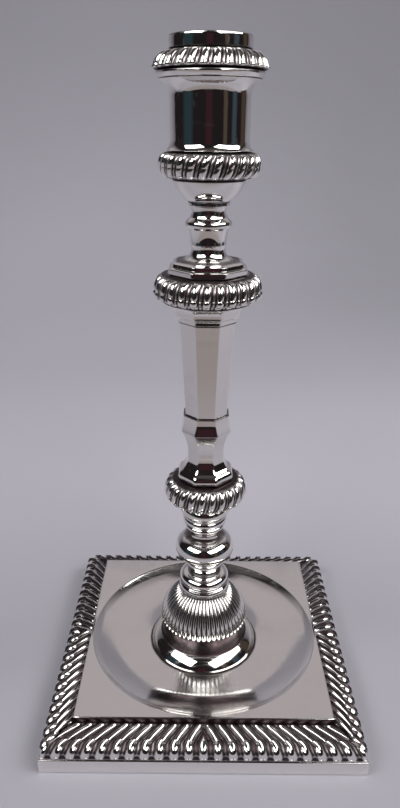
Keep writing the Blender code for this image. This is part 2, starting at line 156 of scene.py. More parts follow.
class Graph:
    """Builds a node tree, for a material or for Geometry Nodes."""

    def __init__(self, tree: bpy.types.NodeTree) -> None:
        """Keeps the tree that the nodes go into."""
        self.tree = tree

    def node(self, kind: str, settings: dict[str, Any] | None = None,
             inputs: dict[Any, Any] | None = None) -> bpy.types.Node:
        """Adds one node.

        Args:
            kind: The node's type name.
            settings: Attributes set first.
            inputs: Values or wires by socket name or number.

        Returns:
            The new node.
        """
        made = self.tree.nodes.new(kind)
        for name, value in (settings or {}).items():
            setattr(made, name, value)
        for key, value in (inputs or {}).items():
            if isinstance(value, Wire):
                self.tree.links.new(value.socket, made.inputs[key])
            else:
                made.inputs[key].default_value = value
        return made

    def wire(self, kind: str, settings: dict[str, Any] | None = None,
             inputs: dict[Any, Any] | None = None, output: str | int = 0) -> Wire:
        """Adds one node and gives one of its outputs.

        Args:
            kind: The node's type name.
            settings: Attributes set first.
            inputs: Values or wires by socket name or number.
            output: The output's name or number.

        Returns:
            The output as a wire.
        """
        return Wire(self, self.node(kind, settings, inputs).outputs[output])

    def math(self, operation: str, *values: "Wire | float", clamp: bool = False) -> Wire:
        """Adds a Math node on values.

        Args:
            operation: The Math node's operation.
            values: Its inputs in order.
            clamp: True to keep the result from 0 to 1.

        Returns:
            The result.
        """
        settings = {"operation": operation, "use_clamp": clamp}
        return self.wire("ShaderNodeMath", settings, dict(enumerate(values)))

    def step(self, value: Wire, low: float | Wire, high: float | Wire) -> Wire:
        """Smooth rise from 0 at low to 1 at high."""
        share = self.math("DIVIDE", value - low, self.math("SUBTRACT", high, low), clamp=True)
        return share * share * (3.0 - 2.0 * share)

    def noise(self, place: Wire, scale: float, detail: float, rough: float = 0.5) -> Wire:
        """Smooth noise from 0 to 1, with that many waves per metre."""
        return self.wire("ShaderNodeTexNoise", {}, {
            "Vector": place, "Scale": scale, "Detail": detail, "Roughness": rough,
        })

    def mixed(self, share: Wire | float, first: Any, second: Any) -> Wire:
        """Mix of two colours by a share from 0 to 1."""
        inputs = {"Factor": share, 6: first, 7: second}
        return self.wire("ShaderNodeMix", {"data_type": "RGBA"}, inputs, 2)


# Silver finishes


@dataclass(frozen=True)
class SilverFinish:
    """Polished silver with hand-worked ripples, hairline scratches, tarnish and painted shade.

    Sizes are in millimetres, and noise scales are per metre. Tarnish and painted shade follow a
    stored attribute, from none at tarnish_from to all at tarnish_full.
    """

    name: str
    tint: Colour = (0.865, 0.845, 0.825)
    gloss: float = 0.055
    smudge: float = 0.05
    ripple: float = 0.012
    ripple_size: float = 9.0
    scratch: float = 0.5
    scratch_scale: Spot = (26.0, 1500.0, 240.0)
    # Colour of tarnish, which also paints shade
    tarnish: Colour = (0.060, 0.042, 0.045)
    tarnish_from: float = 0.22
    tarnish_full: float = 0.62
    cloud_scale: float = 62.0
    speck_scale: float = 420.0
    film: float = 0.10
    film_tint: Colour = (0.72, 0.66, 0.60)

    def scratches(self, graph: Graph, place: Wire) -> Wire:
        """Hairlines in three directions.

        Args:
            graph: The material's graph.
            place: The surface's coordinates.

        Returns:
            1 on a hairline and 0 beside it.
        """
        total: Wire | float = 0.0
        for turn, seed in ((0.35, 1.0), (1.45, 5.0), (2.5, 9.0)):
            lines = graph.wire("ShaderNodeMapping", {}, {
                "Vector": place,
                "Location": (seed, -seed, seed * 0.5),
                "Rotation": (0.4 * turn, 0.25, turn),
                "Scale": self.scratch_scale,
            })
            total = total + graph.step(graph.noise(lines, 1.0, 1.0, 0.4), 0.66, 0.74)
        return graph.math("MINIMUM", total, 1.0)

    def build(self) -> bpy.types.Material:
        """Makes the material.

        Returns:
            The new material.
        """
        material = bpy.data.materials.new(self.name)
        material.use_nodes = True
        graph = Graph(material.node_tree)
        shader = material.node_tree.nodes["Principled BSDF"]
        place = graph.wire("ShaderNodeTexCoord", {}, {}, "Object")

        ripples = graph.noise(place, 1.0 / (self.ripple_size * MM), 2.0, 0.45)
        clouds = graph.noise(place, self.cloud_scale, 4.0, 0.6)
        specks = graph.noise(place, self.speck_scale, 2.0, 0.6)
        hairs = self.scratches(graph, place)

        tarnish_and_shade_level = graph.wire("ShaderNodeAttribute", {"attribute_name": "tarnish_and_shade_level"}, {}, "Fac")
        # Tarnish in hollows and at joints, and painted shade, darken the colour; specks add real
        # spots
        painted_shade_and_tarnish = graph.step(tarnish_and_shade_level + 0.35 * (clouds - 0.5) + 0.15 * (specks - 0.5),
                           self.tarnish_from, self.tarnish_full)
        spots = graph.step(specks, 0.735, 0.80) * graph.step(clouds, 0.50, 0.62) * 0.75
        stain_and_shade = graph.math("MAXIMUM", painted_shade_and_tarnish, spots)
        film = graph.step(clouds, 0.42, 0.72) * self.film
        clean = graph.mixed(film, (*self.tint, 1.0), (*self.film_tint, 1.0))
        colour = graph.mixed(stain_and_shade, clean, (*self.tarnish, 1.0))
        rough = (self.gloss + self.smudge * graph.step(clouds, 0.40, 0.75)
                 + 0.22 * self.scratch * hairs + 0.30 * stain_and_shade)

        depth = 0.0022 * self.scratch * MM
        waves = graph.wire("ShaderNodeBump", {}, {
            "Height": ripples * (self.ripple * MM) - hairs * depth,
            "Strength": 1.0, "Distance": 1.0,
        })
        links = material.node_tree.links
        links.new(colour.socket, shader.inputs["Base Color"])
        links.new(rough.socket, shader.inputs["Roughness"])
        links.new(waves.socket, shader.inputs["Normal"])
        shader.inputs["Metallic"].default_value = 1.0
        return material


# Outlines and meshes


def arc(start: Point, end: Point, sagitta: float) -> list[Point]:
    """Inner points of a circular arc.

    Args:
        start: The arc's first end.
        end: The arc's last end.
        sagitta: How far the arc bulges to the right of the way from start to end.

    Returns:
        The points between the two ends.
    """
    first, last = Vector(start), Vector(end)
    along = (last - first).normalized()
    right = Vector((along.y, -along.x))
    chord = (last - first).length
    half = 2.0 * math.atan(2.0 * sagitta / chord)
    radius = chord / (2.0 * math.sin(half))
    centre = (first + last) / 2 - right * radius * math.cos(half)
    points = []
    for step in range(1, ARC_STEPS):
        turn = half * (2.0 * step / ARC_STEPS - 1.0)
        spot = centre + radius * (right * math.cos(turn) + along * math.sin(turn))
        points.append((spot.x, spot.y))
    return points


def softened(points: Sequence[Point], radius: float) -> list[Point]:
    """Rounds the corners of a closed outline and holds the flats beside them straight.

    Args:
        points: The outline's points in millimetres.
        radius: The rounding's radius.

    Returns:
        The outline with rounded corners.
    """
    result: list[Point] = []
    count = len(points)
    for index, point in enumerate(points):
        here = Vector(point)
        ahead = Vector(points[(index + 1) % count]) - here
        behind = Vector(points[index - 1]) - here
        bend = math.pi - ahead.angle(behind)
        if bend < math.radians(16.0):
            result.append(point)
            continue
        reach = min(radius * math.tan(bend / 2), 0.42 * ahead.length, 0.42 * behind.length)
        start, finish = here + behind.normalized() * reach, here + ahead.normalized() * reach
        if behind.length > 5.0 * reach:
            hold = here + behind.normalized() * (2.2 * reach)
            result.append((hold.x, hold.y))
        for share in (0.0, 0.25, 0.5, 0.75, 1.0):
            spot = start * (1 - share) ** 2 + here * 2 * share * (1 - share) + finish * share ** 2
            result.append((spot.x, spot.y))
        if ahead.length > 5.0 * reach:
            hold = here + ahead.normalized() * (2.2 * reach)
            result.append((hold.x, hold.y))
    return result


def ring_mesh(name: str, loops: Sequence[Sequence[Spot]]) -> bpy.types.Mesh:
    """Closed shell through loops of points, each joined to the next and the last to the first.

    Args:
        name: The mesh's name.
        loops: Loops with the same number of points, in millimetres, anticlockwise from above.

    Returns:
        The new mesh, in metres.
    """
    count = len(loops[0])
    spots = [(x * MM, y * MM, z * MM) for loop in loops for x, y, z in loop]
    faces = []
    for row in range(len(loops)):
        after = (row + 1) % len(loops)
        for step in range(count):
            ahead = (step + 1) % count
            faces.append((row * count + step, row * count + ahead,
                          after * count + ahead, after * count + step))
    mesh = bpy.data.meshes.new(name)
    mesh.from_pydata(spots, [], faces)
    mesh.validate()
    mesh.shade_smooth()
    return mesh


def round_loop(radius: float, height: float, sides: int) -> list[Spot]:
    """Points of a level circle, anticlockwise."""
    turns = [math.tau * step / sides for step in range(sides)]
    return [(radius * math.cos(a), radius * math.sin(a), height) for a in turns]


def octagon_loop(apothem: float, height: float, corner: float) -> list[Spot]:
    """Points of a level octagon with rounded corners.

    Args:
        apothem: Distance from the middle to a flat.
        height: The loop's height.
        corner: Radius of the rounded corners, as a share of the apothem.

    Returns:
        The loop's points, anticlockwise.
    """
    half = math.pi / OCTAGON
    radius = corner * apothem
    edge = (apothem - radius) * math.tan(half)
    hub = (apothem - radius) / math.cos(half)
    shape: list[tuple[float, float]] = []
    for share in (-1.0, -0.8, 0.0, 0.8, 1.0):
        across = edge * share
        shape.append((math.hypot(apothem, across), math.atan2(across, apothem)))
    for step in range(1, 6):
        turn = 2.0 * half * step / 6.0
        x = hub * math.cos(half) + radius * math.cos(turn)
        y = hub * math.sin(half) + radius * math.sin(turn)
        shape.append((math.hypot(x, y), math.atan2(y, x)))
    points = []
    for sector in range(OCTAGON):
        for reach, angle in shape:
            turn = angle + 2.0 * half * sector
            points.append((reach * math.cos(turn), reach * math.sin(turn), height))
    return points


def square_loop(half: float, height: float, count: int) -> list[Spot]:
    """Points of a level square with its corners among them, anticlockwise."""
    points = []
    for step in range(count):
        angle = math.tau * step / count
        reach = half / max(abs(math.cos(angle)), abs(math.sin(angle)))
        points.append((reach * math.cos(angle), reach * math.sin(angle), height))
    return points


def graded(mesh: bpy.types.Mesh, name: str, values: Sequence[float]) -> None:
    """Keeps one value for each point of a mesh as a named attribute."""
    mesh.attributes.new(name, "FLOAT", "POINT").data.foreach_set("value", values)


def keep_tarnish_and_shade(mesh: bpy.types.Mesh, tarnish_and_shade_level: Callable[[Vector], float]) -> None:
    """Keeps for each point its tarnish and painted shade, which darken the finish."""
    graded(mesh, "tarnish_and_shade_level", [tarnish_and_shade_level(vert.co) for vert in mesh.vertices])


def show(name: str, mesh: bpy.types.Mesh) -> bpy.types.Object:
    """Links a new object with that mesh."""
    item = bpy.data.objects.new(name, mesh)
    bpy.context.scene.collection.objects.link(item)
    return item


def sheet(name: str, spots: Sequence[Spot], faces: Sequence[Any]) -> bpy.types.Object:
    """Links a new open sheet of the studio, in metres."""
    mesh = bpy.data.meshes.new(name)
    mesh.from_pydata(spots, [], faces)
    return show(name, mesh)


# Geometry Nodes trees


class CarvingTree:
    """A Geometry Nodes tree that carves lobes into a surface by a rule.

    Its inputs are named sizes. It pushes points in along the surface's normal, keeps as an
    attribute how deep each point lies in a groove and painted shadow where the lobes end, and sets
    the material.
    """

    SIZES: tuple[str, ...] = (
        "Lobes", "Share", "Reed", "Depth", "Lean", "Low", "High", "Guard", "Ends", "Scallop",
    )

    def __init__(self, name: str) -> None:
        """Builds the tree with its interface.

        Args:
            name: The tree's name.
        """
        self.tree = bpy.data.node_groups.new(name, "GeometryNodeTree")
        face = self.tree.interface
        face.new_socket("Surface", in_out="INPUT", socket_type="NodeSocketGeometry")
        for size in self.SIZES:
            face.new_socket(size, in_out="INPUT", socket_type="NodeSocketFloat")
        face.new_socket("Finish", in_out="INPUT", socket_type="NodeSocketMaterial")
        face.new_socket("Surface", in_out="OUTPUT", socket_type="NodeSocketGeometry")
        self.graph = Graph(self.tree)
        self.given = self.graph.node("NodeGroupInput")
        self.build()

    def size(self, name: str) -> Wire:
        """One of the tree's named inputs."""
        return Wire(self.graph, self.given.outputs[name])

    def pattern(self, place: bpy.types.Node) -> tuple[Wire, Wire, Wire]:
        """Where a point lies in the pattern.

        Args:
            place: A node that separates the point's position.

        Returns:
            Lobe count along the pattern, rise from 0 to 1 across it, and 1 where it applies.
        """
        raise NotImplementedError

    def build(self) -> None:
        """Adds the rule shared by every pattern."""
        graph = self.graph
        spot = graph.wire("GeometryNodeInputPosition")
        place = graph.node("ShaderNodeSeparateXYZ", {}, {0: spot})
        along, rise, worked = self.pattern(place)
        turn = graph.math("FRACT", along)
        share = self.size("Share")
        large = graph.math("DIVIDE", turn, share, clamp=True)
        small = graph.math("DIVIDE", turn - share, graph.math("MAXIMUM", 1.0 - share, 0.001),
                           clamp=True)
        first = self.crown(large)
        second = self.crown(small) * self.size("Reed")
        inside = graph.math("LESS_THAN", turn, share)
        ridge = first * inside + second * (1.0 - inside)

        middle = graph.math("ABSOLUTE", 2.0 * large - 1.0)
        curl = self.size("Scallop") * middle * middle
        ends = self.size("Ends")
        fade = graph.step(rise, curl, curl + ends) * graph.step(1.0 - rise, 0.0, ends)
        drop = self.size("Depth") * worked * (fade * (1.0 - ridge) + (1.0 - fade) * END_DROP)
        normal = graph.wire("GeometryNodeInputNormal")
        shift = graph.wire("ShaderNodeVectorMath", {"operation": "SCALE"},
                           {0: normal, "Scale": drop * -1.0})
        surface = Wire(graph, self.given.outputs["Surface"])
        # Tarnish in the grooves, and painted shadow with some joint tarnish where the lobes end
        tarnish_and_shade_level = worked * graph.math("MAXIMUM", fade * (1.0 - ridge),
                                     (1.0 - fade) * END_SHADE_AND_TARNISH)
        kept = graph.wire("GeometryNodeStoreNamedAttribute",
                          {"data_type": "FLOAT", "domain": "POINT"},
                          {"Geometry": surface, "Name": "tarnish_and_shade_level", "Value": tarnish_and_shade_level})
        moved = graph.wire("GeometryNodeSetPosition", {}, {"Geometry": kept, "Offset": shift})
        smooth = graph.wire("GeometryNodeSetShadeSmooth", {}, {0: moved})
        real = graph.wire("GeometryNodeRealizeInstances", {}, {0: smooth})
        finish = Wire(graph, self.given.outputs["Finish"])
        dressed = graph.wire("GeometryNodeSetMaterial", {}, {"Geometry": real, "Material": finish})
        graph.node("NodeGroupOutput", {}, {"Surface": dressed})

    def crown(self, share: Wire) -> Wire:
        """Round crown of a lobe: 0 at its two grooves and 1 along its middle."""
        away = 2.0 * share - 1.0
        return self.graph.math("MAXIMUM", 1.0 - away * away, 0.0) ** CROWN

    def carve(self, item: bpy.types.Object, finish: bpy.types.Material,
              sizes: dict[str, float]) -> None:
        """Runs the tree on an object and keeps the result as its mesh.

        Args:
            item: The object with the smooth surface.
            finish: The material that the tree sets.
            sizes: The tree's named sizes.
        """
        modifier = item.modifiers.new("carving", "NODES")
        modifier.node_group = self.tree
        for socket in self.tree.interface.items_tree:
            if socket.in_out == "INPUT" and socket.name in sizes:
                modifier[socket.identifier] = float(sizes[socket.name])
            elif socket.in_out == "INPUT" and socket.name == "Finish":
                modifier[socket.identifier] = finish
        graph = bpy.context.evaluated_depsgraph_get()
        baked = bpy.data.meshes.new_from_object(item.evaluated_get(graph), depsgraph=graph)
        item.modifiers.remove(modifier)
        baked.name = item.data.name
        item.data = baked


class RoundCarving(CarvingTree):
    """Lobes that stand around the candlestick's axis."""

    def pattern(self, place: bpy.types.Node) -> tuple[Wire, Wire, Wire]:
        """Counts lobes by angle, always above zero, and rises with height."""
        graph = self.graph
        x, y, z = (Wire(graph, place.outputs[axis]) for axis in range(3))
        radius = graph.math("SQRT", x * x + y * y)
        angle = graph.math("ARCTAN2", y, x) / math.tau + 1.0
        low = self.size("Low")
        rise = graph.math("DIVIDE", z - low, self.size("High") - low, clamp=True)
        along = angle * self.size("Lobes") - self.size("Lean") * rise + 20.0
        worked = graph.step(radius, self.size("Guard"), self.size("Guard") + 0.4 * MM)
        return along, rise, worked


class BorderCarving(CarvingTree):
    """Lobes across one straight side of the foot, mirrored about its middle."""

    def pattern(self, place: bpy.types.Node) -> tuple[Wire, Wire, Wire]:
        """Counts lobes towards the mitre, and rises inward. They lean above their bulbs."""
        graph = self.graph
        x, y, z = (Wire(graph, place.outputs[axis]) for axis in range(3))
        reach = y * -1.0
        low = self.size("Low")
        rise = graph.math("DIVIDE", low - reach, low - self.size("High"), clamp=True)
        away = graph.math("ABSOLUTE", x) / reach
        middle = self.size("Share") * 0.5
        above = graph.math("DIVIDE", rise - BULB, 1.0 - BULB, clamp=True)
        along = away * self.size("Lobes") + self.size("Lean") * above ** 1.25 + middle
        worked = graph.step(z, self.size("Guard"), self.size("Guard") + 0.2 * MM)
        return along, rise, worked


# Pieces


@dataclass
class Workshop:
    """Finishes and trees that the pieces share, and the list of what has been made."""

    polished: bpy.types.Material
    plate: bpy.types.Material
    worked: bpy.types.Material
    round_carving: RoundCarving
    border_carving: BorderCarving
    made: list[str] = field(default_factory=list)

    def place(self, item: bpy.types.Object, node: str, slot: Slot) -> bpy.types.Object:
        """Ties a finished piece to the frame.

        Args:
            item: The piece.
            node: The CAD node it replaces.
            slot: Not used.

        Returns:
            The same piece.
        """
        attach(item, ROOT)
        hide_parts(node)
        self.made.append(item.name)
        log.info("%s stands for %s with %d faces", item.name, node, len(item.data.polygons))
        return item


@dataclass
class Casting:
    """One hollow casting on the candlestick's axis.

    Its outline runs up the outside, as points (radius in millimetres, share of the height) and
    the sagittas of the arcs between them, which are shares of the height too. Painted shade with
    some tarnish lies on it between two shares of the height, and seam is the tarnish right at its
    joints.
    """

    node: str
    items: tuple[Any, ...]
    bore: float
    soft: float = 0.22
    # Band of painted shade with some tarnish, and how dark it is
    painted_shade_and_tarnish: tuple[float, float] | None = None
    band_shade_and_tarnish: float = 0.60
    seam: float = 0.52

    def outline(self) -> list[Point]:
        """The casting's closed section.

        Returns:
            Points (radius, height) in millimetres: up the outside and down the bore.
        """
        low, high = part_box(self.node)
        base, tall = low.z / MM, (high.z - low.z) / MM
        points: list[Point] = []
        sagitta = None
        for item in self.items:
            if isinstance(item, tuple):
                point = (item[0], base + item[1] * tall)
                if item[1] == 0.0:
                    point = (item[0], base - SOLDER)
                elif item[1] == 1.0:
                    point = (item[0], base + tall + SOLDER)
                if sagitta is not None:
                    points += arc(points[-1], point, sagitta * tall)
                points.append(point)
                sagitta = None
            else:
                sagitta = item
        bore = [(self.bore, points[-1][1]), (self.bore, points[0][1])]
        return softened(points + bore, self.soft)

    def mesh(self) -> bpy.types.Mesh:
        """Turns the section into a round shell."""
        loops = [round_loop(radius, height, ROUND_SIDES) for radius, height in self.outline()]
        return ring_mesh(self.node, loops)

    def build(self, shop: Workshop) -> bpy.types.Object:
        """Makes the casting and ties it to its node.

        Args:
            shop: Shared finishes and trees.

        Returns:
            The new piece.
        """
        low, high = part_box(self.node)

        def tarnish_and_shade_level(spot: Vector) -> float:
            """Tarnish beside the solder joints, and painted shade with some tarnish within the
            band.
            """
            share = (spot.z - low.z) / (high.z - low.z)
            in_shade_band = self.painted_shade_and_tarnish is not None and self.painted_shade_and_tarnish[0] <= share <= self.painted_shade_and_tarnish[1]
            away = min(spot.z - low.z, high.z - spot.z) / MM
            return max(self.band_shade_and_tarnish * in_shade_band, self.seam - FADE * max(away, 0.0))

        item = show("silver_" + self.node, self.mesh())
        keep_tarnish_and_shade(item.data, tarnish_and_shade_level)
        item.data.materials.append(shop.polished)
        return shop.place(item, self.node, Slot.POLISHED)


@dataclass
class FacetedCasting(Casting):
    """An eight-sided casting. Its radii are apothems."""

    corner: float = 0.16

    def mesh(self) -> bpy.types.Mesh:
        """Turns the section into an octagonal shell with worn corners."""
        loops = [octagon_loop(radius, height, self.corner) for radius, height in self.outline()]
        return ring_mesh(self.node, loops)


@dataclass
class LobedCasting(Casting):
    """A round casting carved with large lobes and narrow reeds."""

    lobes: int = 24
    share: float = 0.68
    reed: float = 0.60
    depth: float = 1.0
    lean: float = 0.9
    ends: float = 0.16
    scallop: float = 0.0
    sides: int = 16

    def mesh(self) -> bpy.types.Mesh:
        """Turns the section with enough sides for its lobes."""
        sides = self.lobes * self.sides
        loops = [round_loop(radius, height, sides) for radius, height in self.outline()]
        return ring_mesh(self.node, loops)

    def build(self, shop: Workshop) -> bpy.types.Object:
        """Makes and carves the casting, and ties it to its node.

        Args:
            shop: Shared finishes and trees.

        Returns:
            The new piece.
        """
        low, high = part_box(self.node)
        item = show("silver_" + self.node, self.mesh())
        shop.round_carving.carve(item, shop.worked, {
            "Lobes": self.lobes, "Share": self.share, "Reed": self.reed,
            "Depth": self.depth * MM, "Lean": self.lean,
            "Low": low.z - SOLDER * MM, "High": high.z + SOLDER * MM,
            "Guard": (self.bore + 0.5) * MM, "Ends": self.ends, "Scallop": self.scallop,
        })
        return shop.place(item, self.node, Slot.WORKED)


@dataclass
class SquareFoot:
    """Plinth, gadroon border and raised plate with its round well.

    Sizes are in millimetres. The border reaches past the plinth's face by border_lap, and
    leaves plate_reveal of the plate's upright edge bare.
    """

    plinth_wall: float = 3.0
    border_width: float = 10.6
    border_lap: float = 0.15
    plate_reveal: float = 0.3
    border_ledge: float = 0.8
    border_swell: float = 0.3
    bulb_width: float = 4.2
    bulb_height: float = 4.4
    bulb_swell: float = 1.3
    lobes_each_way: float = 11.0
    lobe_share: float = 0.72
    lobe_depth: float = 1.5
    lobe_lean: float = 0.95
    lobe_ends: float = 0.05
    reed: float = 0.5
    stations: int = 352
    plate_wall: float = 1.8
    rim_radius: float = 46.4
    foot_radius: float = 22.0
    bore: float = 15.6
    edge_round: float = 0.4
    plate_sides: int = 256
    well_rows: int = 64
    # Radius, depth and slope where the well's curve changes
    well_knots: tuple[Spot, ...] = (
        (21.7, 4.4, 0.18),
        (31.0, 5.3, 0.02),
        (43.0, 2.1, -0.46),
        (45.3, 0.68, -0.68),
        (46.4, 0.0, 0.0),
    )

    def build(self, shop: Workshop) -> None:
        """Makes every piece of the foot.

        Args:
            shop: Shared finishes and trees.
        """
        for side in Side:
            self.plinth(side, shop)
            self.border(side, shop)
        self.plate(shop)

    def strip(self, name: str, section: Sequence[Point], stations: int) -> bpy.types.Object:
        """One mitred strip along the front of the foot.

        Args:
            name: The piece's name.
            section: Closed section as (distance from the middle, height).
            stations: Steps along the strip.

        Returns:
            The strip, still at the front.
        """
        spots: list[Spot] = []
        count = len(section)
        for station in range(stations + 1):
            share = 2.0 * station / stations - 1.0
            for reach, height in section:
                along = share * (reach - 0.02)
                spots.append((along * MM, -reach * MM, height * MM))
        faces: list[tuple[int, ...]] = []
        for station in range(stations):
            for index in range(count):
                after = (index + 1) % count
                first, second = station * count, (station + 1) * count
                faces.append((first + index, second + index, second + after, first + after))
        faces.append(tuple(reversed(range(count))))
        faces.append(tuple(range(stations * count, (stations + 1) * count)))
        mesh = bpy.data.meshes.new(name)
        mesh.from_pydata(spots, [], [tuple(reversed(face)) for face in faces])
        mesh.validate()
        mesh.shade_smooth()
        mesh.set_sharp_from_angle(angle=CREASE)
        return show(name, mesh)

    def turned(self, item: bpy.types.Object, side: Side) -> None:
        """Turns a front strip's mesh to its own side."""
        item.data.transform(Matrix.Rotation(side.value * math.pi / 2, 4, "Z"))

    def plinth(self, side: Side, shop: Workshop) -> None:
        """Plain upright band with a rounded upper edge.

        Args:
            side: The side it stands on.
            shop: Shared finishes and trees.
        """
        node = "plinth_" + side.name.lower()
        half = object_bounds()[1].x / MM
        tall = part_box(node)[1].z / MM
        section = [
            (half - self.plinth_wall, 0.0),
            (half, 0.0),
            (half, tall + SOLDER),
            (half - self.plinth_wall, tall + SOLDER),
        ]
        item = self.strip("silver_" + node, softened(section, 0.55), 24)
        item.data.materials.append(shop.polished)
        self.turned(item, side)
        shop.place(item, node, Slot.POLISHED)

    def border(self, side: Side, shop: Workshop) -> None:
        """Strip of leaning lobes between the plinth and the plate.

        Args:
            side: The side it stands on.
            shop: Shared finishes and trees.
        """
        node = "gadroon_border_" + side.name.lower()
        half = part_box("plinth_front")[1].x / MM + self.border_lap
        low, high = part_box(node)
        foot, head = low.z / MM - SOLDER, high.z / MM - self.plate_reveal
        outer, inner = half - self.border_ledge, half - self.border_width
        base, crest = (outer, foot + 0.5), (outer - self.bulb_width, foot + self.bulb_height)
        crown = [base, *arc(base, crest, self.bulb_swell), crest]
        crown += [*arc(crest, (inner, head), self.border_swell), (inner, head)]
        section = [(half - 0.45, foot)]
        section += crown
        section += [(inner - 0.8, head), (inner - 0.8, head - 1.6), (outer - 2.0, foot)]
        item = self.strip("silver_" + node, softened(section, 0.2), self.stations)
        shop.border_carving.carve(item, shop.worked, {
            "Lobes": self.lobes_each_way, "Share": self.lobe_share, "Reed": self.reed,
            "Depth": self.lobe_depth * MM, "Lean": self.lobe_lean,
            "Low": (outer + 0.45) * MM, "High": inner * MM, "Guard": (foot + 0.25) * MM,
            "Ends": self.lobe_ends, "Scallop": self.lobe_ends,
        })
        self.turned(item, side)
        shop.place(item, node, Slot.WORKED)

    def well_depth(self, radius: float) -> float:
        """Depth of the well's surface below the plate's top.

        Args:
            radius: Distance from the candlestick's axis.

        Returns:
            The depth in millimetres.
        """
        knots = self.well_knots
        for (r0, d0, s0), (r1, d1, s1) in zip(knots, knots[1:]):
            if radius <= r1:
                t = (radius - r0) / (r1 - r0)
                span = r1 - r0
                return ((2 * t**3 - 3 * t**2 + 1) * d0 + (t**3 - 2 * t**2 + t) * span * s0
                        + (3 * t**2 - 2 * t**3) * d1 + (t**3 - t**2) * span * s1)
        return 0.0

    def plate(self, shop: Workshop) -> None:
        """Raised plate with soft upper edges and a round dished well.

        Args:
            shop: Shared finishes and trees.
        """
        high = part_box("base_plate")[1]
        half, top = high.x / MM, high.z / MM
        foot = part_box("gadroon_border_front")[1].z / MM
        fall = (self.rim_radius - self.foot_radius) / self.well_rows
        radii = [self.rim_radius - fall * row for row in range(self.well_rows + 1)]
        edge = self.edge_round
        loops = [square_loop(half, foot, self.plate_sides)]
        loops += [square_loop(half, top - edge - 0.05, self.plate_sides)]
        for share in (0.0, 0.25, 0.5, 0.75, 1.0):
            turn = share * math.pi / 2
            loops.append(square_loop(half - edge * (1 - math.cos(turn)),
                                     top - edge * (1 - math.sin(turn)), self.plate_sides))
        loops.append(square_loop(half - 2 * edge, top, self.plate_sides))
        loops.append(round_loop(self.rim_radius + 0.25, top, self.plate_sides))
        section = [(radius, top - self.well_depth(radius)) for radius in radii]
        section.append((self.bore, section[-1][1]))
        loops += [round_loop(radius, height, self.plate_sides) for radius, height in section]
        loops += [round_loop(radius, height - self.plate_wall, self.plate_sides)
                  for radius, height in reversed(section)]
        mesh = ring_mesh("base_plate", loops)
        mesh.set_sharp_from_angle(angle=CREASE)

        def tarnish_and_shade_level(spot: Vector) -> float:
            """Painted shade on the upright edge, and darker where the skirt stands."""
            radius = spot.xy.length / MM
            # Painted shade on the plate's upright edge
            if max(abs(spot.x), abs(spot.y)) / MM > half - 0.1:
                return 0.75
            return max(0.0, 0.6 - 0.5 * max(radius - self.foot_radius, 0.0))

        keep_tarnish_and_shade(mesh, tarnish_and_shade_level)
        item = show("silver_base_plate", mesh)
        item.data.materials.append(shop.plate)
        shop.place(item, "base_plate", Slot.POLISHED)


@dataclass
class StemFoot:
    """Skirt, fluted dome, collar and trumpet neck. Radii in millimetres."""

    skirt_radius: float = 21.7
    dome_radius: float = 17.2
    dome_top: float = 9.4
    bore: float = 15.6
    flutes: int = 54
    collar_radius: float = 10.2
    neck_radius: float = 6.0

    def castings(self) -> list[Casting]:
        """The castings from the well upward."""
        edge = self.dome_radius
        neck = self.neck_radius
        # The skirt's upper band gets painted shade with some tarnish, standing in for the dark
        # reflection under the flutes
        skirt = Casting("foot_ring", (
            (self.skirt_radius - 0.4, 0.0),
            (self.skirt_radius, 0.04),
            (self.skirt_radius - 0.2, 0.09), 0.025,
            (edge + 0.5, 0.42), -0.02,
            (edge - 0.2, 0.55),
            (edge - 0.2, 1.0),
        ), self.bore, soft=0.35, painted_shade_and_tarnish=(0.40, 1.0))
        dome = LobedCasting("fluted_dome", (
            (edge + 0.5, 0.0), 0.15,
            (self.dome_top, 1.0),
        ), self.dome_top - 1.6, lobes=self.flutes, share=0.999, reed=0.0, depth=1.1,
            lean=0.0, ends=0.05, scallop=0.10, sides=10)
        collar = Casting("dome_collar", (
            (self.collar_radius - 0.4, 0.0), 0.05,
            (self.collar_radius - 0.4, 0.3),
            (self.collar_radius - 1.1, 0.36), 0.16,
            (self.collar_radius - 2.3, 0.9),
            (neck + 0.6, 0.92),
            (neck + 0.6, 1.0),
        ), neck - 1.6)
        trumpet = Casting("trumpet_neck", (
            (neck, 0.0), -0.02,
            (neck + 0.3, 0.3),
            (neck + 0.9, 0.36), 0.04,
            (neck + 1.3, 0.6), -0.03,
            (8.6, 1.0),
        ), neck - 1.6)
        return [skirt, dome, collar, trumpet]


@dataclass
class LowerStem:
    """Ball, reel and gadroon knop. Radii in millimetres."""

    ball_radius: float = 11.4
    reel_neck: float = 5.9
    reel_radius: float = 9.1
    knop_radius: float = 15.4
    knop_end: float = 10.3
    knop_lobes: int = 24

    def castings(self) -> list[Casting]:
        """The castings from the trumpet neck upward."""
        neck = self.reel_neck
        fillet = neck + 1.4
        ring = self.reel_radius
        ball = Casting("ball_knop", (
            (self.ball_radius - 2.0, 0.0), 0.05,
            (self.ball_radius, 0.26), 0.24,
            (neck + 0.4, 1.0),
        ), neck - 1.5)
        reel = Casting("ringed_reel", (
            (neck, 0.0), -0.03,
            (neck + 0.2, 0.22),
            (fillet, 0.26), 0.03,
            (fillet, 0.38),
            (ring - 1.2, 0.42), 0.04,
            (ring - 1.0, 0.6),
            (ring - 0.8, 0.64), 0.06,
            (ring - 0.6, 0.94),
            (ring - 0.6, 1.0),
        ), neck - 1.9)
        knop = LobedCasting("gadroon_knop", (
            (self.knop_end - 1.0, 0.0), 0.09,
            (self.knop_radius, 0.36), 0.2,
            (self.knop_end, 1.0),
        ), 7.7, lobes=self.knop_lobes, lean=0.55, depth=1.15)
        return [ball, reel, knop]


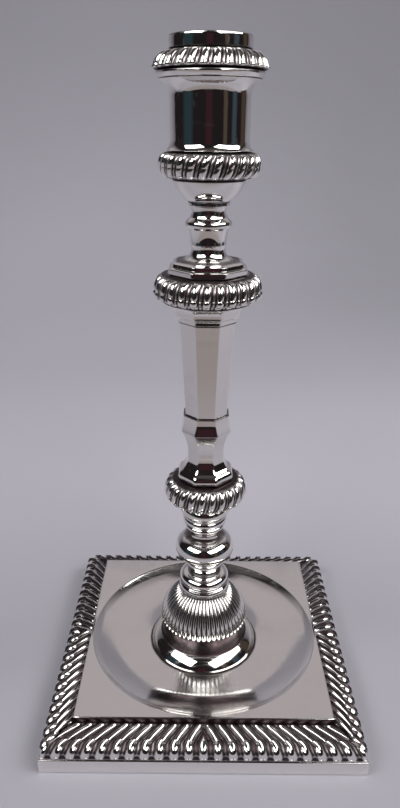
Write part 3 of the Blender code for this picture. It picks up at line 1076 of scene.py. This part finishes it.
@dataclass
class OctagonalStem:
    """Baluster, shaft and capital. Sizes are apothems in millimetres."""

    foot: float = 9.9
    waist: float = 6.6
    collar: float = 9.1
    shaft_foot: float = 7.4
    shaft_top: float = 9.6
    capital: float = 14.0

    def castings(self) -> list[Casting]:
        """The castings from the gadroon knop upward."""
        bead = self.shaft_foot + 0.8
        top = self.shaft_top
        baluster = FacetedCasting("octagonal_baluster", (
            (self.foot, 0.0), 0.03,
            (self.foot - 1.2, 0.14), -0.03,
            (self.waist, 0.38), -0.03,
            (self.collar, 0.76),
            (self.collar - 0.9, 0.91),
            (bead, 0.925),
            (bead, 1.0),
        ), 5.0)
        shaft = FacetedCasting("octagonal_shaft", (
            (self.shaft_foot, 0.0),
            (self.shaft_top, 1.0),
        ), 5.8, corner=0.12)
        capital = FacetedCasting("octagonal_capital", (
            (top + 0.5, 0.0),
            (top + 0.5, 0.2),
            (top + 1.4, 0.35),
            (top + 1.4, 0.55), -0.1,
            (self.capital, 1.0),
        ), 8.5)
        return [baluster, shaft, capital]


@dataclass
class Shoulder:
    """Gadroon shoulder, its cushion and the ringed neck. Sizes in millimetres."""

    radius: float = 18.4
    top: float = 14.5
    lobes: int = 26
    cushion_top: float = 10.2
    neck: float = 5.9
    ring: float = 7.45

    def castings(self) -> list[Casting]:
        """The castings from the capital upward."""
        shoulder = LobedCasting("gadroon_shoulder", (
            (self.radius - 2.4, 0.0),
            (self.radius - 2.0, 0.12), 0.12,
            (self.radius, 0.4), 0.14,
            (self.top, 1.0),
        ), 11.3, lobes=self.lobes, lean=0.2, depth=1.25)
        cushion = FacetedCasting("octagonal_cushion", (
            (self.top - 1.4, 0.0),
            (self.top - 1.4, 0.42),
            (self.top - 2.6, 0.54),
            (self.top - 2.7, 0.84),
            (self.cushion_top, 1.0),
        ), 8.6)
        neck = Casting("ringed_neck", (
            (self.cushion_top - 0.8, 0.0), -0.09,
            (self.neck + 0.2, 0.27), -0.01,
            (self.ring - 0.8, 0.54),
            (self.ring, 0.57), 0.02,
            (self.ring, 0.68),
            (self.neck + 0.3, 0.74), -0.02,
            (self.neck + 0.1, 0.92),
            (self.neck + 0.9, 0.94),
            (self.neck + 0.9, 1.0),
        ), self.neck - 1.6)
        return [shoulder, cushion, neck]


@dataclass
class CandleSocket:
    """Bowl, gadroon rings, tube, lip and mouth around the candle. Sizes in millimetres."""

    bore: float = 11.3
    wall: float = 1.4
    neck: float = 6.8
    ring_swell: float = 4.9
    ring_lobes: int = 24
    tube_flare: float = 4.7
    rim_swell: float = 6.2
    rim_lobes: int = 28

    def castings(self) -> list[Casting]:
        """The castings from the ringed neck upward."""
        bore, tube = self.bore, self.bore + self.wall
        lip = bore + self.rim_swell - 0.9
        bowl = Casting("socket_bowl", (
            (self.neck, 0.0), 0.12,
            (bore + 0.6, 1.0),
        ), self.neck - 1.6)
        ring = LobedCasting("gadroon_socket_ring", (
            (bore + 1.0, 0.0), 0.16,
            (bore + self.ring_swell, 0.45), 0.14,
            (tube + 1.0, 1.0),
        ), bore, lobes=self.ring_lobes, lean=0.55, depth=1.2)
        seat = Casting("candle_seat", (
            (bore - 0.15, 0.0),
            (bore - 0.15, 1.0),
        ), 0.4)
        barrel = Casting("socket_tube", (
            (tube + 1.1, 0.0), -0.020,
            (tube - 0.1, 0.15),
            (tube - 0.1, 0.78), -0.010,
            (tube + 0.7, 0.92), -0.010,
            (bore + self.tube_flare, 1.0),
        ), bore, seam=0.15)
        rim_lip = Casting("rim_lip", (
            (lip - 1.1, 0.0), 0.1,
            (lip, 0.75),
            (lip - 0.1, 1.0),
        ), bore)
        rim = LobedCasting("gadroon_rim", (
            (lip + 0.3, 0.0), 0.1,
            (bore + self.rim_swell, 0.3), 0.16,
            (tube + 0.4, 1.0),
        ), bore, lobes=self.rim_lobes, lean=0.25, depth=1.25)
        mouth = Casting("mouth_collar", (
            (tube - 0.1, 0.0),
            (tube, 0.8),
            (tube - 0.2, 1.0),
        ), bore)
        return [bowl, ring, seat, barrel, rim_lip, rim, mouth]


# Studio


@dataclass(frozen=True)
class SoftLight:
    """A soft light panel that faces the candlestick. Lengths in metres, angles in degrees."""

    name: str
    azimuth: float
    elevation: float
    distance: float
    width: float
    height: float
    power: float

    def build(self) -> bpy.types.Object:
        """Hangs the panel.

        Returns:
            The light.
        """
        lamp = bpy.data.lights.new(self.name, "AREA")
        lamp.shape = "RECTANGLE"
        lamp.size, lamp.size_y = self.width, self.height
        lamp.energy = self.power
        item = bpy.data.objects.new(self.name, lamp)
        around, up = math.radians(self.azimuth - 90.0), math.radians(self.elevation)
        aim = Vector((0.0, 0.0, 0.1))
        way = Vector((math.cos(up) * math.cos(around), math.cos(up) * math.sin(around),
                      math.sin(up)))
        item.location = aim + way * self.distance
        item.rotation_euler = way.to_track_quat("Z", "Y").to_euler()
        bpy.context.scene.collection.objects.link(item)
        return item


@dataclass
class Studio:
    """Pale sweep, dark side of the room, soft lights and camera.

    Lengths are in metres, angles in degrees, and the lens in millimetres.
    """

    floor_tint: Colour = (0.555, 0.537, 0.600)
    # Warm colour of the painted shadow across the front of the floor
    front_shadow_tint: Colour = (0.590, 0.520, 0.510)
    room_tint: Colour = (0.014, 0.011, 0.012)
    front: float = -0.42
    outer: float = -1.8
    bend: float = 0.35
    radius: float = 0.5
    top: float = 1.9
    width: float = 3.2
    ceiling_tint: Colour = (0.07, 0.062, 0.062)
    card_heights: tuple[float, float] = (-0.02, 0.55)
    card_distance: float = 0.9
    lens: float = 29.57
    camera_place: Spot = (-0.0023, -0.2233, 0.210)
    camera_tilt: float = 67.38
    camera_roll: float = 0.5

    def sweep(self) -> None:
        """Floor that curves up into the backdrop."""
        line: list[Point] = [(self.front, 0.0), (self.bend, 0.0)]
        for step in range(1, 17):
            turn = step * math.pi / 32
            line.append((self.bend + self.radius * math.sin(turn),
                         self.radius * (1 - math.cos(turn))))
        line.append((self.bend + self.radius, self.top))
        half = self.width / 2
        spots = [(x, y, z) for y, z in line for x in (-half, half)]
        faces = [(2 * k, 2 * k + 1, 2 * k + 3, 2 * k + 2) for k in range(len(line) - 1)]
        item = sheet("sweep", spots, faces)
        item.data.shade_smooth()
        item.data.materials.append(self.paper("paper_sweep", self.floor_tint))
        item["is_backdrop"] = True

    def outer_floor(self) -> None:
        """Floor nearer than the paper's edge, which only the camera sees."""
        half = self.width / 2
        spots = [(-half, self.outer, 0.0), (half, self.outer, 0.0),
                 (half, self.front, 0.0), (-half, self.front, 0.0)]
        item = sheet("outer_floor", spots, [(0, 1, 2, 3)])
        item.data.materials.append(self.paper("paper_floor", self.floor_tint))
        item.visible_glossy = False
        item.visible_diffuse = False
        item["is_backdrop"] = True

    def ceiling(self) -> None:
        """Dim ceiling that only reflections show."""
        half, near, far, height = 0.9, -0.7, 0.1, 1.3
        spots = [(-half, near, height), (half, near, height),
                 (half, far, height), (-half, far, height)]
        item = sheet("ceiling", spots, [(3, 2, 1, 0)])
        graded(item.data, "glow", [1.0] * len(spots))
        item.data.materials.append(self.glow("ceiling", self.ceiling_tint))
        self.reflected_only(item)

    def paper(self, name: str, tint: Colour) -> bpy.types.Material:
        """Matt paper with painted light: a warm painted shadow across the front, a painted pool of
        light behind the candlestick, and painted falloff far back that is uneven from side to
        side.
        """
        material = bpy.data.materials.new(name)
        material.use_nodes = True
        graph = Graph(material.node_tree)
        place = graph.wire("ShaderNodeTexCoord", {}, {}, "Object")
        clouds = graph.noise(place, 9.0, 3.0)
        axes = graph.node("ShaderNodeSeparateXYZ", {}, {0: place})
        away = Wire(graph, axes.outputs["Y"]) + Wire(graph, axes.outputs["Z"])
        side = graph.step(Wire(graph, axes.outputs["X"]), -0.14, 0.30)

        # Painted light: share of the tint, from the front edge back and up the backdrop
        # Painted shadow across the front of the floor
        near = graph.step(away, -0.28, -0.09)
        light = (0.46 + 0.26 * near
                 + 0.27 * graph.step(away, -0.03, 0.18)
                 - (0.10 + 0.25 * side) * graph.step(away, 0.22, 0.6)
                 - (0.23 - 0.13 * side) * graph.step(away, 0.6, 1.3) + 0.04 * (clouds - 0.5))
        # The painted shadow at the front takes a warm tint
        warmed = graph.mixed(near, (*self.front_shadow_tint, 1.0), (*tint, 1.0))
        colour = graph.mixed(light, BLACK, warmed)
        shader = material.node_tree.nodes["Principled BSDF"]
        material.node_tree.links.new(colour.socket, shader.inputs["Base Color"])
        shader.inputs["Roughness"].default_value = 0.9
        return material

    def glow(self, name: str, tint: Colour) -> bpy.types.Material:
        """Glow for a card, fading into the room where the attribute "glow" falls."""
        material = bpy.data.materials.new(name)
        material.use_nodes = True
        graph = Graph(material.node_tree)
        shader = material.node_tree.nodes["Principled BSDF"]
        share = graph.wire("ShaderNodeAttribute", {"attribute_name": "glow"}, {}, "Fac")
        colour = graph.mixed(share, (*self.room_tint, 1.0), (*tint, 1.0))
        material.node_tree.links.new(colour.socket, shader.inputs["Emission Color"])
        shader.inputs["Base Color"].default_value = BLACK
        shader.inputs["Specular IOR Level"].default_value = 0.0
        shader.inputs["Emission Strength"].default_value = 1.0
        return material

    def card(self, name: str, azimuth: tuple[float, float], heights: tuple[float, float],
             distance: float, tint: Colour) -> None:
        """Curved upright card that only reflections show.

        Args:
            name: The card's name.
            azimuth: First and last angle round the candlestick, in degrees.
            heights: Lowest and highest edge.
            distance: Distance from the axis.
            tint: Colour of the card.
        """
        first, last = azimuth
        spots: list[Spot] = []
        shares: list[float] = []
        steps = max(8, int(abs(last - first) / 6.0))
        for step in range(steps + 1):
            turn = math.radians(first + (last - first) * step / steps - 90.0)
            for height in heights:
                spots.append((distance * math.cos(turn), distance * math.sin(turn), height))
                shares.append(min(1.0, math.sin(math.pi * step / steps) * 1.6))
        faces = [(2 * k, 2 * k + 2, 2 * k + 3, 2 * k + 1) for k in range(steps)]
        item = sheet(name, spots, faces)
        graded(item.data, "glow", shares)
        item.data.materials.append(self.glow(name, tint))
        self.reflected_only(item)

    def reflected_only(self, item: bpy.types.Object) -> None:
        """Keeps a card out of everything but the silver's reflections."""
        item.visible_camera = False
        item.visible_diffuse = False
        item.visible_shadow = False
        item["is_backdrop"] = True

    def world(self) -> None:
        """Dim room all round."""
        world = bpy.data.worlds.new("room")
        world.use_nodes = True
        back = world.node_tree.nodes["Background"]
        back.inputs["Color"].default_value = (*self.room_tint, 1.0)
        back.inputs["Strength"].default_value = 1.0
        bpy.context.scene.world = world

    def camera(self) -> None:
        """Camera at the front, a little below the candlestick's mouth."""
        lens = bpy.data.cameras.new("camera")
        lens.sensor_width = 36.0
        lens.sensor_fit = "AUTO"
        lens.lens = self.lens
        lens.clip_start = 0.005
        item = bpy.data.objects.new("camera", lens)
        tilt = Matrix.Rotation(math.radians(self.camera_tilt), 4, "X")
        roll = Matrix.Rotation(math.radians(self.camera_roll), 4, "Z")
        item.matrix_world = Matrix.Translation(self.camera_place) @ tilt @ roll
        bpy.context.scene.collection.objects.link(item)
        bpy.context.scene.camera = item

    def build(self) -> None:
        """Sets up the whole studio."""
        self.sweep()
        self.outer_floor()
        self.ceiling()
        self.world()
        SoftLight("right_softbox", azimuth=60.0, elevation=43.0, distance=1.2,
                  width=1.5, height=0.55, power=14.0).build()
        SoftLight("left_softbox", azimuth=-52.0, elevation=42.0, distance=1.2,
                  width=1.0, height=0.50, power=9.0).build()
        for name, azimuth, tint in (
            ("teal_card", (-82.0, -46.0), (0.020, 0.036, 0.044)),
            ("red_card", (-14.0, 8.0), (0.034, 0.014, 0.018)),
            ("tan_card", (36.0, 50.0), (0.070, 0.054, 0.040)),
            ("slate_card", (62.0, 80.0), (0.040, 0.058, 0.074)),
            ("brown_card", (94.0, 116.0), (0.060, 0.042, 0.030)),
        ):
            self.card(name, azimuth, self.card_heights, self.card_distance, tint)
        self.card("high_backdrop", (112.0, 248.0), (0.50, 2.6), 0.75, (0.43, 0.395, 0.41))
        self.camera()


def main() -> None:
    """Builds the candlestick and its studio."""
    logging.basicConfig(level=logging.INFO, format="%(name)s: %(message)s")
    bpy.context.scene.view_settings.view_transform = "Standard"
    shop = Workshop(
        polished=SilverFinish("polished_silver").build(),
        plate=SilverFinish("plate_silver", gloss=0.10, smudge=0.09, ripple=0.010,
                           ripple_size=14.0, scratch=0.35).build(),
        worked=SilverFinish("worked_silver", gloss=0.10, ripple=0.010, ripple_size=4.0,
                            scratch=0.3).build(),
        round_carving=RoundCarving("round_carving"),
        border_carving=BorderCarving("border_carving"),
    )
    SquareFoot().build(shop)
    for part in (StemFoot(), LowerStem(), OctagonalStem(), Shoulder(), CandleSocket()):
        for casting in part.castings():
            casting.build(shop)
    Studio().build()
    log.info("%d pieces made", len(shop.made))


if __name__ == "__main__":
    main()
